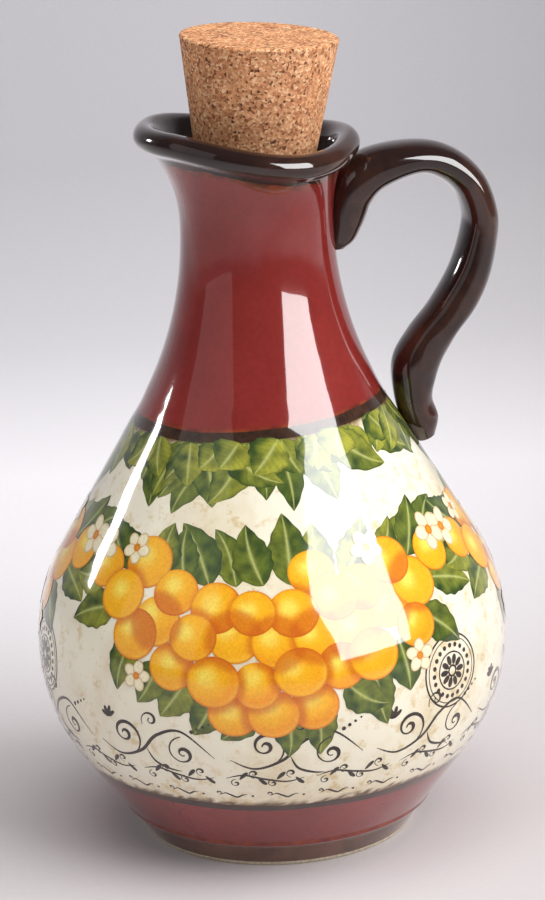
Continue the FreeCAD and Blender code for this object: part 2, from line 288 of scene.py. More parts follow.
RED_GLAZE = glaze("wine_red_glaze", red_tone)
BROWN_GLAZE = glaze("bitter_brown_glaze",
                    plain_tone(colour(36, 21, 18), colour(80, 49, 37), 60.0, 0.42, 0.80))
FOOT_GLAZE = glaze("foot_brown_glaze", plain_tone(colour(84, 53, 40), colour(112, 74, 57), 90.0))
LINE_GLAZE = glaze("dark_line_glaze", plain_tone(colour(44, 30, 24), colour(70, 47, 34), 260.0))
CREAM_GLAZE = glaze("stained_cream_glaze", cream_tone)
PAINT_GLAZE = glaze("underglaze_paint", painted_tone)
INK_GLAZE = glaze("brown_black_ink", plain_tone(colour(26, 20, 19), colour(66, 50, 42), 420.0))
CLAY = bare_clay("bare_foot_clay")
INNER_GLAZE = glaze("inner_brown_glaze", plain_tone(colour(40, 26, 21), colour(62, 42, 34), 60.0))
JUG_FINISHES = [CLAY, BROWN_GLAZE, RED_GLAZE, LINE_GLAZE, CREAM_GLAZE, INNER_GLAZE, FOOT_GLAZE]


# --- the thrown pot ----------------------------------------------------------

def direction(angle):
    return Vector((math.cos(angle), math.sin(angle)))


BELLY_CENTRE = Vector((BELLY_RADIUS - BELLY_CURVE, BELLY_HEIGHT))
NECK_CENTRE = Vector((NECK_RADIUS + NECK_CURVE, NECK_HEIGHT))
HEM = Vector((HEM_RADIUS, HEM_HEIGHT))


def shoulder_angle(belly_curve, neck_curve):
    """Where the straight shoulder leaves the belly's arc and meets the neck's."""
    gap = NECK_CENTRE - BELLY_CENTRE
    lean = math.acos((belly_curve + neck_curve) / gap.length)
    return math.atan2(gap.y, gap.x) - lean


def foot_wall_angle():
    """Where the straight wall above the foot meets the belly's arc."""
    to_hem = HEM - BELLY_CENTRE
    return math.atan2(to_hem.y, to_hem.x) + math.acos(BELLY_CURVE / to_hem.length)


WALL_ANGLE = foot_wall_angle()


def wall_points(belly_curve, neck_curve, start, steps):
    """Points up a wall: straight, belly arc, straight shoulder and neck arc."""
    shoulder = shoulder_angle(belly_curve, neck_curve)
    low = BELLY_CENTRE + direction(WALL_ANGLE) * belly_curve
    points = [start.lerp(low, k / steps) for k in range(steps)]
    arc_steps = 3 * steps
    points += [BELLY_CENTRE + direction(WALL_ANGLE + (shoulder - WALL_ANGLE) * k / arc_steps)
               * belly_curve for k in range(arc_steps)]
    leave = BELLY_CENTRE + direction(shoulder) * belly_curve
    meet = NECK_CENTRE - direction(shoulder) * neck_curve
    points += [leave.lerp(meet, k / (2 * steps)) for k in range(2 * steps)]
    points += [NECK_CENTRE - direction(shoulder * (1.0 - k / arc_steps)) * neck_curve
               for k in range(arc_steps + 1)]
    return points


OUTER_WALL = wall_points(BELLY_CURVE, NECK_CURVE, HEM, 24)
WALL_HEIGHTS = [point.y for point in OUTER_WALL]
LENGTH_ALONG = [0.0]
for lower, upper in zip(OUTER_WALL, OUTER_WALL[1:]):
    LENGTH_ALONG.append(LENGTH_ALONG[-1] + (upper - lower).length)


def place_in(rising, value):
    """The step of a rising row of numbers that holds a value, and how far along it is."""
    low = min(bisect_right(rising, value) - 1, len(rising) - 2)
    return low, (value - rising[low]) / (rising[low + 1] - rising[low])


def wall_point(low, share):
    return OUTER_WALL[low].lerp(OUTER_WALL[low + 1], share)


def radius_along(length):
    """Radius of the outer wall at a length up it from the hem."""
    length = min(max(length, 0.0), LENGTH_ALONG[-1] - 1e-6)
    return wall_point(*place_in(LENGTH_ALONG, length)).x


def length_at(height):
    """Length up the wall from the hem at which it reaches a height."""
    return LENGTH_ALONG[min(bisect_left(WALL_HEIGHTS, height), len(LENGTH_ALONG) - 1)]


def radius_at(height):
    return radius_along(length_at(height))


def from_handle(turn):
    """Degrees round from the handle, either way: 180 is the spout."""
    return abs((turn + 180.0) % 360.0 - 180.0)


def rim_middle(turn):
    """Radius and height of the middle of the rolled rim."""
    away = from_handle(turn)
    radius = RIM_BACK + (RIM_SIDE - RIM_BACK) * smooth_step(away, 25.0, 90.0)
    radius += SPOUT_REACH * smooth_step(away, 140.0, 180.0)
    height = RIM_LOW + SPOUT_LIFT * smooth_step(away, 68.0, 155.0)
    height += HANDLE_LIFT * (1.0 - smooth_step(away, 0.0, 68.0))
    return radius, height


def flare_top(turn):
    """Height at which the flared neck meets the roll."""
    return rim_middle(turn)[1] - 1.25 * ROLL


def flare_point(turn, share):
    top_radius = rim_middle(turn)[0] - 0.35 * ROLL
    return (NECK_RADIUS + (top_radius - NECK_RADIUS) * share ** 2.2,
            NECK_HEIGHT + (flare_top(turn) - NECK_HEIGHT) * share)


def roll_point(turn, angle):
    radius, height = rim_middle(turn)
    return (radius + ROLL * math.cos(math.radians(angle)),
            height + ROLL * math.sin(math.radians(angle)))


def inside_point(turn, share):
    radius, height = rim_middle(turn)
    top_radius = radius - 1.1 * ROLL
    ledge = NECK_HEIGHT + THROAT_LEDGE
    return (THROAT_RADIUS + (top_radius - THROAT_RADIUS) * share ** 0.8,
            ledge + (height - ledge) * share ** 1.7)


# Painted bands. Each edge is drawn by hand on the wheel, so it tilts and strays.
LOW_LINE, HIGH_LINE, HIGH_LINE_LEAN = 24.4, 126.1, 2.0


def wander(turn, reach, seed):
    """A slow stray of the brush round the pot, the same where it closes."""
    angle = math.radians(turn)
    return noise.noise(Vector((math.cos(angle) * reach, math.sin(angle) * reach, seed)))


def low_line(turn):
    return LOW_LINE + 0.6 * wander(turn, 2.0, 5.0)


def low_line_top(turn):
    return low_line(turn) + 2.3 + 0.5 * wander(turn, 3.0, 9.0)


def high_line(turn):
    lean = HIGH_LINE_LEAN * math.cos(math.radians(turn - FRONT - 90.0))
    return HIGH_LINE + lean + 0.5 * wander(turn, 2.0, 21.0)


def high_line_top(turn):
    return high_line(turn) + 2.7 + 0.3 * wander(turn, 3.0, 30.0)


def brown_reach(turn):
    """How far the rim's brown runs down the neck under the roll."""
    to_spout = smooth_step(from_handle(turn), 110.0, 175.0)
    return 1.1 + 1.4 * to_spout + 0.6 * wander(turn, 4.0, 40.0)


def red_share(turn):
    """Share of the flare that stays red."""
    return 1.0 - brown_reach(turn) / (flare_top(turn) - NECK_HEIGHT)


TURNS = 240       # points round each ring of the pot
# The clay lies a little inside the solid, and the paint's layers on top of it.
SUNK, PAINT_LIFT, PAINT_LAYER = 0.24, -0.20, 0.0045


def band_rings(low, high, steps):
    """Rings of the outer wall between two painted edges."""
    def ring(share):
        def point(turn):
            height = low(turn) + (high(turn) - low(turn)) * share
            spot = wall_point_at_height(height)
            sunk = SUNK * (1.0 - smooth_step(height - high_line_top(turn), 0.0, 6.0))
            return spot.x - sunk, spot.y
        return point
    return [ring(k / steps) for k in range(steps)]


def wall_point_at_height(height):
    return HEM if height <= HEM_HEIGHT else wall_point(*place_in(WALL_HEIGHTS, height))


def even_rings(*spots):
    """Level rings of one radius each, from (radius, height) spots."""
    return [lambda turn, spot=spot: spot for spot in spots]


def between(first, second, steps):
    return even_rings(*((first[0] + (second[0] - first[0]) * k / steps,
                         first[1] + (second[1] - first[1]) * k / steps) for k in range(steps)))


def inner_wall_points():
    start = BELLY_CENTRE + direction(WALL_ANGLE) * (BELLY_CURVE - WALL)
    down = Vector((math.sin(WALL_ANGLE), -math.cos(WALL_ANGLE)))
    foot = start + down * ((FLOOR_HEIGHT + 3.0 - start.y) / down.y)
    return wall_points(BELLY_CURVE - WALL, NECK_CENTRE.x - THROAT_RADIUS, foot, 8)


def jug_rings():
    """Rings up the outside, over the rim and down the inside, with their finish."""
    clay, brown, red, line, cream, inner, foot = range(len(JUG_FINISHES))
    ledge = NECK_HEIGHT + THROAT_LEDGE
    parts = (
        (clay, even_rings((0.0, FOOT_RECESS))),
        (clay, between((8.0, FOOT_RECESS), (FOOT_INNER - 0.6, FOOT_RECESS), 3)),
        (clay, even_rings((FOOT_INNER - 0.3, FOOT_RECESS - 0.2), (FOOT_INNER, FOOT_RECESS - 0.8),
                          (FOOT_INNER, 0.6), (FOOT_INNER + 0.2, 0.15), (FOOT_INNER + 0.7, 0.0),
                          (FOOT_RADIUS - 0.9, 0.0), (FOOT_RADIUS - 0.3, 0.15),
                          (FOOT_RADIUS + 0.1, 0.6), (FOOT_RADIUS + 0.35, 1.1))),
        (foot, between((FOOT_RADIUS + 0.5, 1.4), (FOOT_TOP - 0.1, FOOT_HEIGHT - 0.5), 5)),
        (foot, even_rings((FOOT_TOP, FOOT_HEIGHT - 0.2), (FOOT_TOP + 0.3, FOOT_HEIGHT + 0.1))),
        (red, even_rings((FOOT_TOP + 0.9, FOOT_HEIGHT + 0.3), (FOOT_TOP + 1.5, FOOT_HEIGHT + 0.7),
                         (HEM_RADIUS - 0.15, HEM_HEIGHT - 0.6),
                         (HEM_RADIUS - 0.05, HEM_HEIGHT - 0.1))),
        (red, band_rings(lambda turn: HEM_HEIGHT + 0.3, low_line, 20)),
        (line, band_rings(low_line, low_line_top, 3)),
        (cream, band_rings(low_line_top, high_line, 120)),
        (line, band_rings(high_line, high_line_top, 4)),
        (red, band_rings(high_line_top, lambda turn: NECK_HEIGHT, 44)),
        (red, [lambda turn, s=k / 30: flare_point(turn, s * red_share(turn)) for k in range(30)]),
        (brown, [lambda turn, s=k / 3: flare_point(
            turn, red_share(turn) + (1.0 - red_share(turn)) * s) for k in range(4)]),
        (brown, [lambda turn, a=a: roll_point(turn, a) for a in range(-62, 156, 8)]),
        (brown, [lambda turn, s=1.0 - k / 20: inside_point(turn, s) for k in range(20)]),
        (inner, even_rings((THROAT_RADIUS, ledge), (THROAT_RADIUS, NECK_HEIGHT + 4.0))),
        (inner, even_rings(*(tuple(spot) for spot in reversed(inner_wall_points())))),
        (inner, even_rings((30.0, FLOOR_HEIGHT + 0.4), (16.0, FLOOR_HEIGHT))))
    return [(ring, finish) for finish, rings in parts for ring in rings]


def build_jug():
    rows = jug_rings()
    verts, paints, faces, slots = [], [], [], []
    for ring, _ in rows:
        for step in range(TURNS):
            turn = 360.0 * step / TURNS
            radius, height = ring(turn)
            verts.append(turned(radius, turn, height))
            paints.append(wall_tone(turn, height))
    for row, (_, finish) in enumerate(rows[:-1]):
        low, high = row * TURNS, (row + 1) * TURNS
        for step in range(TURNS):
            beside = (step + 1) % TURNS
            faces.append((low + step, low + beside, high + beside, high + step))
            slots.append(finish)
    # The middle of the inside floor is a single point.
    last, middle = (len(rows) - 1) * TURNS, len(verts)
    verts.append((0.0, 0.0, FLOOR_HEIGHT * MM))
    paints.append((1, 1, 1, 1))
    faces += [(last + step, last + (step + 1) % TURNS, middle) for step in range(TURNS)]
    slots += [rows[-1][1]] * TURNS
    piece = new_piece("jug_body", verts, faces, JUG_FINISHES, slots, paints)
    close_shell(piece)
    finish_piece(piece, "stoneware", "jug")


def wall_tone(turn, height):
    """Paint of the wall: burnt edges on the cream, rust factor on the red under the rim and above
    the upper line, and a darker brown band along the hem.
    """
    if height > high_line_top(turn) - 0.01:
        rim = flare_top(turn) - brown_reach(turn)
        streak = wander(turn, 5.0, height * 0.12)
        under_rim = 0.85 * (1.0 - smooth_step(rim - height + 1.6 * streak, -0.4, 2.8))
        at_line = 0.7 * (1.0 - smooth_step(height - high_line_top(turn), 0.0, 0.7))
        rust = max(under_rim, at_line)
        return (rust, rust, rust, 1.0)
    if height < low_line(turn) + 0.01:
        # A narrow band of the red turns darker brown along the hem, where the wall turns in to the
        # foot.
        rust = 0.55 * (1.0 - smooth_step(abs(height - HEM_HEIGHT), 0.0, 1.1))
        return (rust, rust, rust, 1.0)
    return ground_tone(turn, height)


def ground_tone(turn, height):
    """How the cream darkens towards its burnt, ragged edges."""
    radius, angle = radius_at(height), math.radians(turn)
    spot = Vector((radius * math.cos(angle), radius * math.sin(angle), height))
    ragged = noise.noise(spot * 0.55) * 0.9 + noise.noise(spot * 1.4) * 0.7
    above = height - low_line_top(turn)
    burn = 1.0 - smooth_step(above + ragged * 1.5, 0.2, 2.0)
    haze = 0.25 * (1.0 - smooth_step(above + ragged, 0.0, 7.0))
    below = high_line(turn) - height
    top_burn = 1.0 - smooth_step(below + ragged * 1.2, 0.0, 2.4)
    top_haze = 0.35 * (1.0 - smooth_step(below + ragged, 0.0, 9.0))
    tone = mix((1, 1, 1, 1), (0.80, 0.62, 0.36, 1), max(haze, top_haze))
    return mix(tone, (0.16, 0.09, 0.04, 1), max(burn, top_burn))


# --- node trees that wrap, sweep and scatter ---------------------------------

class NodeSheet:
    """A Geometry Nodes tree with named inputs, built a node at a time."""

    def __init__(self, name, sockets):
        self.tree = bpy.data.node_groups.new(name, "GeometryNodeTree")
        self.keys = {}
        face = self.tree.interface
        for label, kind in [("Geometry", "Geometry")] + sockets:
            socket = face.new_socket(label, in_out="INPUT", socket_type="NodeSocket" + kind)
            self.keys[label] = socket.identifier
        face.new_socket("Geometry", in_out="OUTPUT", socket_type="NodeSocketGeometry")
        self.source = self.tree.nodes.new("NodeGroupInput").outputs
        self.end = self.tree.nodes.new("NodeGroupOutput").inputs["Geometry"]

    def node(self, kind, inputs=None, **settings):
        return add_node(self.tree, kind, inputs, **settings)

    def math(self, operation, first, second=0.0):
        return self.node("ShaderNodeMath", {0: first, 1: second}, operation=operation).outputs[0]

    def read(self, name, kind):
        made = self.node("GeometryNodeInputNamedAttribute", {"Name": name}, data_type=kind)
        return made.outputs["Attribute"]

    def split(self, vector):
        return self.node("ShaderNodeSeparateXYZ", {0: vector}).outputs

    def join(self, **parts):
        return self.node("ShaderNodeCombineXYZ", parts).outputs[0]

    def vector(self, operation, inputs):
        return self.node("ShaderNodeVectorMath", inputs, operation=operation).outputs[0]

    def placed(self, shape, spot):
        return self.node("GeometryNodeSetPosition", {"Geometry": shape.outputs[0],
                                                     "Position": spot})

    def close(self, shape):
        real = self.node("GeometryNodeRealizeInstances", {"Geometry": shape.outputs[0]})
        done = self.node("GeometryNodeSetMaterial", {"Geometry": real.outputs[0],
                                                     "Material": self.source["Finish"]})
        self.tree.links.new(done.outputs[0], self.end)

    def run(self, piece, **values):
        """Run the tree on a piece and give back the plain mesh that it makes."""
        modifier = piece.modifiers.new("shape", "NODES")
        modifier.node_group = self.tree
        for label, value in values.items():
            modifier[self.keys[label]] = value
        piece.update_tag()
        evaluated = piece.evaluated_get(bpy.context.evaluated_depsgraph_get())
        mesh = bpy.data.meshes.new_from_object(evaluated)
        piece.modifiers.remove(modifier)
        return mesh


def wrap_sheet():
    """Wraps a flat sheet round the pot, in as many copies as are asked for.

    The sheet's x is the turn in radians, its y the length up the profile and
    its z the count of paint layers underneath.
    """
    sheet = NodeSheet("wrap_on_profile", [
        ("Profile", "Object"), ("Copies", "Int"), ("Step", "Float"), ("Start", "Float"),
        ("Lift", "Float"), ("Layer", "Float"), ("Finish", "Material")])
    source = sheet.source
    places = sheet.node("GeometryNodeMeshLine", {
        "Count": source["Copies"], "Start Location": sheet.join(X=source["Start"]),
        "Offset": sheet.join(X=source["Step"])}, mode="OFFSET")
    copies = sheet.node("GeometryNodeInstanceOnPoints", {
        "Points": places.outputs[0], "Instance": source["Geometry"]})
    flat = sheet.node("GeometryNodeRealizeInstances", {"Geometry": copies.outputs[0]})
    spot = sheet.split(sheet.node("GeometryNodeInputPosition").outputs[0])
    profile = sheet.node("GeometryNodeObjectInfo", {"Object": source["Profile"]})
    along = sheet.node("GeometryNodeSampleCurve", {
        "Curves": profile.outputs["Geometry"], "Length": spot["Y"]}, mode="LENGTH")
    place = sheet.split(along.outputs["Position"])
    heading = sheet.split(along.outputs["Tangent"])
    reach = sheet.math("ADD", source["Lift"], sheet.math("MULTIPLY", spot["Z"], source["Layer"]))
    radius = sheet.math("ADD", place["X"], sheet.math("MULTIPLY", heading["Z"], reach))
    height = sheet.math("SUBTRACT", place["Z"], sheet.math("MULTIPLY", heading["X"], reach))
    wrapped = sheet.join(
        X=sheet.math("MULTIPLY", radius, sheet.math("COSINE", spot["X"])),
        Y=sheet.math("MULTIPLY", radius, sheet.math("SINE", spot["X"])), Z=height)
    sheet.close(sheet.placed(flat, wrapped))
    return sheet


def squared_off(sheet, wave, turn):
    """A sine or cosine flattened a little, so that an oval gets flatter sides."""
    swing = sheet.math(wave, turn)
    size = sheet.math("POWER", sheet.math("ABSOLUTE", swing), 0.93)
    return sheet.math("MULTIPLY", size, sheet.math("SIGN", swing))


def strap_sheet():
    """Sweeps an oval along the strap's rail, its two widths set point by point."""
    sheet = NodeSheet("strap_on_rail", [("Around", "Int"), ("Finish", "Material")])
    rail = sheet.node("GeometryNodeMeshToCurve", {"Mesh": sheet.source["Geometry"]})
    ring = sheet.node("GeometryNodeCurvePrimitiveCircle", {
        "Resolution": sheet.source["Around"], "Radius": 1.0})
    share = sheet.node("GeometryNodeSplineParameter").outputs["Factor"]
    marked = sheet.node("GeometryNodeStoreNamedAttribute", {
        "Geometry": ring.outputs[0], "Name": "round", "Value": share},
        data_type="FLOAT", domain="POINT")
    swept = sheet.node("GeometryNodeCurveToMesh", {
        "Curve": rail.outputs[0], "Profile Curve": marked.outputs[0], "Fill Caps": True})
    turn = sheet.math("MULTIPLY", sheet.read("round", "FLOAT"), 2.0 * math.pi)
    thick = sheet.math("MULTIPLY", sheet.read("thick", "FLOAT"),
                       squared_off(sheet, "COSINE", turn))
    wide = sheet.math("MULTIPLY", sheet.read("wide", "FLOAT"), squared_off(sheet, "SINE", turn))
    outward = sheet.vector("SCALE", {0: sheet.read("facing", "FLOAT_VECTOR"), "Scale": thick})
    spread = sheet.vector("ADD", {0: outward, 1: sheet.join(Y=wide)})
    spot = sheet.vector("ADD", {0: sheet.read("middle", "FLOAT_VECTOR"), 1: spread})
    sheet.close(sheet.placed(swept, spot))
    return sheet


def grain_sheet():
    """Scatters chips over a surface, each turned its own way and sunk in it."""
    sheet = NodeSheet("scattered_grains", [
        ("Chip", "Object"), ("Density", "Float"), ("Seed", "Int"), ("Smallest", "Float"),
        ("Largest", "Float"), ("Sink", "Float"), ("Finish", "Material")])
    source = sheet.source
    scatter = sheet.node("GeometryNodeDistributePointsOnFaces", {
        "Mesh": source["Geometry"], "Density": source["Density"], "Seed": source["Seed"]})
    down = sheet.vector("SCALE", {0: scatter.outputs["Normal"], "Scale": source["Sink"]})
    sunk = sheet.node("GeometryNodeSetPosition", {
        "Geometry": scatter.outputs["Points"], "Offset": down})
    chip = sheet.node("GeometryNodeObjectInfo", {"Object": source["Chip"]})
    size = sheet.node("FunctionNodeRandomValue", {
        2: source["Smallest"], 3: source["Largest"], "Seed": source["Seed"]},
        data_type="FLOAT")
    spin = sheet.node("FunctionNodeRandomValue", {1: (0.3, 0.3, 6.28)}, data_type="FLOAT_VECTOR")
    angles = sheet.node("FunctionNodeEulerToRotation", {0: spin.outputs[0]})
    turn = sheet.node("FunctionNodeRotateRotation", {
        0: scatter.outputs["Rotation"], 1: angles.outputs[0]}, rotation_space="LOCAL")
    sheet.close(sheet.node("GeometryNodeInstanceOnPoints", {
        "Points": sunk.outputs[0], "Instance": chip.outputs["Geometry"],
        "Rotation": turn.outputs[0], "Scale": size.outputs[1]}))
    return sheet


WRAP, STRAP, GRAINS = wrap_sheet(), strap_sheet(), grain_sheet()


def profile_line(name, points):
    """A curve through (radius, height) points, for the wrap to follow."""
    data = bpy.data.curves.new(name, "CURVE")
    data.dimensions = "3D"
    spline = data.splines.new("POLY")
    spline.points.add(len(points) - 1)
    for point, (radius, height) in zip(spline.points, points):
        point.co = (radius * MM, 0.0, height * MM, 1.0)
    return put_in_scene(name, data)


def drop(*helpers):
    for helper in helpers:
        bpy.data.objects.remove(helper)


# --- the pulled handle -------------------------------------------------------

def handle_stations():
    """Ovals along the strap: x, z, facing, half thickness, half width."""
    thick, wide = 0.5 * STRAP_THICKNESS, 0.5 * STRAP_WIDTH
    stations = [(22.6, 170.6, 180.0, 3.0, 3.8), (23.7, 173.0, 178.0, 4.6, 5.6),
                (24.9, 177.2, 172.0, 5.5, 6.8), (26.3, 182.6, 149.0, 6.4, 7.4),
                (29.3, 188.4, 124.0, 6.9, 8.0), (35.4, 192.7, 103.0, 6.2, 8.4)]
    for facing in (88.0, 62.0, 35.0, 8.0):
        stations.append((BOW_X + BOW_RADIUS * math.cos(math.radians(facing)),
                         BOW_Z + BOW_RADIUS * math.sin(math.radians(facing)),
                         facing, thick - 0.35, wide))
    stations += [(65.3, 171.2, -11.0, 5.1, 8.5), (62.0, 159.4, -30.0, 5.8, 8.5),
                 (55.4, 148.0, -45.0, 6.3, 8.2), (49.0, 140.0, -42.0, 6.6, 8.2),
                 (45.1, 132.6, -28.0, 7.0, 7.8), (44.6, 124.6, -8.0, 5.7, 6.7),
                 (46.7, 117.0, 12.0, 5.2, 6.1), (48.2, 111.9, 22.0, 2.8, 3.4)]
    return stations


def eased(before, start, end, after, share):
    """A smooth curve through a row of values, between the middle two."""
    first, last = 0.5 * (end - before), 0.5 * (after - start)
    a = 2 * start - 2 * end + first + last
    b = -3 * start + 3 * end - 2 * first - last
    return ((a * share + b) * share + first) * share + start


def four_near(row, k):
    """An item of a row with the one before it and the two after it."""
    return [row[max(k - 1, 0)], row[k], row[k + 1], row[min(k + 2, len(row) - 1)]]


# Where a thumb and a tool pressed the strap on: centre, reach, depth.
THUMB_MARKS = (
    ((60.5, -4.0, 141.5), 5.0, 1.5), ((57.5, -9.0, 133.0), 5.5, 1.5),
    ((50.5, -9.5, 138.5), 5.0, 1.2), ((52.5, -8.0, 124.0), 4.2, 1.5),
    ((57.0, 7.0, 135.0), 6.0, 1.4), ((48.0, -8.5, 129.5), 3.6, 1.1),
    ((53.0, 7.0, 122.0), 4.5, 1.2), ((30.0, -9.0, 181.0), 5.0, 1.0),
)


def dented(spot):
    for centre, reach, depth in THUMB_MARKS:
        centre = Vector(centre)
        away = (spot - centre).length / reach
        if away < 2.2:
            inward = (Vector((centre.x - 8.0, 0.0, centre.z)) - centre).normalized()
            spot = spot + inward * (depth * math.exp(-away * away))
    return spot


def strap_rows(steps=12):
    """Ovals close together along the strap, eased between the stations."""
    stations, rows = handle_stations(), []
    for k in range(len(stations) - 1):
        near = four_near(stations, k)
        rows += [[eased(*(station[field] for station in near), step / steps)
                  for field in range(5)] for step in range(steps)]
    return rows + [list(stations[-1])]


def build_handle():
    rows = strap_rows()
    middles = [(x * MM, 0.0, z * MM) for x, z, *_ in rows]
    turns = [math.radians(row[2]) for row in rows]
    facings = [(math.cos(turn), 0.0, math.sin(turn)) for turn in turns]
    rail_mesh = bpy.data.meshes.new("strap_rail")
    rail_mesh.from_pydata(middles, [(k, k + 1) for k in range(len(rows) - 1)], [])
    for label, column in (("thick", 3), ("wide", 4)):
        layer = rail_mesh.attributes.new(label, "FLOAT", "POINT")
        layer.data.foreach_set("value", [row[column] * MM for row in rows])
    for label, vectors in (("middle", middles), ("facing", facings)):
        layer = rail_mesh.attributes.new(label, "FLOAT_VECTOR", "POINT")
        layer.data.foreach_set("vector", [part for vector in vectors for part in vector])
    rail = put_in_scene("strap_rail", rail_mesh)
    mesh = STRAP.run(rail, Around=64, Finish=BROWN_GLAZE)
    drop(rail)
    for vertex in mesh.vertices:
        vertex.co = dented(vertex.co / MM) * MM
    piece = smooth_object("jug_handle", mesh)
    close_shell(piece)
    finish_piece(piece, "stoneware", "jug")


# --- painting on the wall ----------------------------------------------------

class FlatArt:
    """Painted shapes drawn flat: turn, length up the wall and paint layer."""

    def __init__(self):
        self.verts, self.faces, self.paints = [], [], []

    def spot(self, anchor, u, v, layer):
        """A point u mm to the right and v mm up from (degrees, length)."""
        degrees, length = anchor
        radius = 0.5 * (radius_along(length + v) + radius_along(length))
        return (math.radians(degrees) + u / radius, (length + v) * MM, layer)

    def grid(self, anchor, rows, layer):
        self.faces += grid_faces(len(rows), len(rows[0]), len(self.verts))
        for row in rows:
            for u, v, paint in row:
                self.verts.append(self.spot(anchor, u, v, layer))
                self.paints.append(paint)

    def disc(self, anchor, centre, radius, tone, layer, rings=9, around=44, squash=1.0, tilt=0.0):
        start = len(self.verts)
        for ring in range(1, rings + 1):
            for step in range(around):
                angle = 2 * math.pi * step / around
                x, y = ring / rings * math.cos(angle), ring / rings * math.sin(angle)
                across, up = x * radius, y * radius * squash
                u = centre[0] + across * math.cos(tilt) - up * math.sin(tilt)
                v = centre[1] + across * math.sin(tilt) + up * math.cos(tilt)
                self.verts.append(self.spot(anchor, u, v, layer))
                self.paints.append(tone(x, y))
        middle = len(self.verts)
        self.verts.append(self.spot(anchor, centre[0], centre[1], layer))
        self.paints.append(tone(0.0, 0.0))
        for step in range(around):
            beside = (step + 1) % around
            self.faces.append((middle, start + step, start + beside))
            for ring in range(rings - 1):
                low, high = start + ring * around, start + (ring + 1) * around
                self.faces.append((low + step, high + step, high + beside, low + beside))

    def pen(self, anchor, line, layer):
        """A line of ink through (u, v, width) points."""
        rows = []
        for k, (u, v, width) in enumerate(line):
            before, after = line[max(k - 1, 0)], line[min(k + 1, len(line) - 1)]
            along = Vector((after[0] - before[0], after[1] - before[1]))
            along = along.normalized() if along.length > 1e-6 else Vector((1.0, 0.0))
            side = Vector((-along.y, along.x)) * (0.5 * width)
            rows.append([(u + side.x, v + side.y, INK), (u - side.x, v - side.y, INK)])
        self.grid(anchor, rows, layer)

    def wrap(self, name, material, start, copies=1, step=0.0):
        """Lay the drawing on the pot and make it a piece of its own."""
        faces = [self.counter_clockwise(face) for face in self.faces]
        flat = new_piece(name + "_flat", self.verts, faces, [], paints=self.paints)
        wrapped = WRAP.run(flat, Profile=WALL_LINE, Copies=copies, Step=math.radians(step),
                           Start=math.radians(start), Lift=PAINT_LIFT * MM,
                           Layer=PAINT_LAYER * MM, Finish=material)
        drop(flat)
        finish_piece(smooth_object(name, wrapped), "stoneware")

    def counter_clockwise(self, face):
        a, b, c = (self.verts[k] for k in face[:3])
        area = (b[0] - a[0]) * (c[1] - a[1]) - (b[1] - a[1]) * (c[0] - a[0])
        if len(face) == 4:
            d = self.verts[face[3]]
            area += (c[0] - a[0]) * (d[1] - a[1]) - (c[1] - a[1]) * (d[0] - a[0])
        return face if area > 0.0 else face[::-1]


WALL_LINE = profile_line("wall_line", [tuple(point) for point in OUTER_WALL])

INK = colour(40, 30, 27)
FRUIT_LIGHT, FRUIT_MIDDLE = colour(255, 226, 96), colour(251, 184, 36)
FRUIT_SHADE, FRUIT_DEEP = colour(243, 146, 28), colour(206, 96, 26)
LEAF_DARK, LEAF_MIDDLE = colour(42, 62, 34), colour(92, 112, 44)
LEAF_LIGHT, LEAF_VEIN = colour(178, 176, 66), colour(196, 200, 120)
PETAL, PETAL_EDGE, POLLEN = colour(246, 236, 200), colour(196, 160, 104), colour(222, 150, 36)


def fruit_tone(light, warm, seed, shadows):
    """Shading of one round fruit: lit from the upper left, dark where others lie on it."""
    def tone(x, y):
        edge = math.hypot(x, y)
        lit = math.hypot(x - light[0], y - light[1])
        glow = 0.30 * smooth_step(edge, 0.70, 0.88) * smooth_step(lit, 0.9, 1.4)
        rim = 0.85 * smooth_step(edge, 0.88, 1.0) * smooth_step(lit, 0.3, 1.1)
        mottle = noise.noise(Vector((x * 2.5 + seed, y * 2.5, seed)))
        shade = mix(FRUIT_LIGHT, FRUIT_MIDDLE, smooth_step(lit, 0.05, 0.60))
        shade = mix(shade, FRUIT_SHADE, warm * smooth_step(lit, 0.45, 1.30))
        shade = mix(shade, FRUIT_LIGHT, glow)
        shade = mix(shade, FRUIT_DEEP, rim)
        shade = mix(shade, FRUIT_SHADE, 0.35 * max(mottle, 0.0))
        for across, up, reach in shadows:
            gap = math.hypot(x - across, y - up) - reach
            shade = mix(shade, FRUIT_DEEP, 0.7 * (1.0 - smooth_step(gap, 0.0, 0.36)))
        return shade
    return tone


def petal_tone(x, y):
    rim = smooth_step(math.hypot(x, y), 0.72, 1.0)
    return mix(mix(PETAL, PETAL_EDGE, 0.9 * rim), POLLEN, 0.5 * smooth_step(-x, 0.2, 1.0))


def eye_tone(x, y):
    return mix(POLLEN, FRUIT_DEEP, math.hypot(x, y) ** 3)


def ink_tone(x, y):
    return INK


def on_circle(radius, angle):
    return (radius * math.cos(angle), radius * math.sin(angle))


def leaf_tone(share, side, patch, light):
    """Colour of a leaf at a share of its length and a side from -1 to 1."""
    vein = abs((share * 8.0 - abs(side) * 1.6) % 1.0 - 0.5)
    tone = mix(LEAF_DARK, LEAF_MIDDLE, 0.55 + 0.7 * patch)
    tone = mix(tone, LEAF_LIGHT, light * (0.45 + 0.4 * side + 0.5 * patch))
    tone = mix(tone, LEAF_DARK, 0.6 * smooth_step(abs(side), 0.80, 1.0))
    tone = mix(tone, LEAF_DARK, 0.35 * (1.0 - smooth_step(vein, 0.0, 0.16)))
    return mix(tone, LEAF_VEIN, 0.8 * (1.0 - smooth_step(abs(side), 0.03, 0.13)))


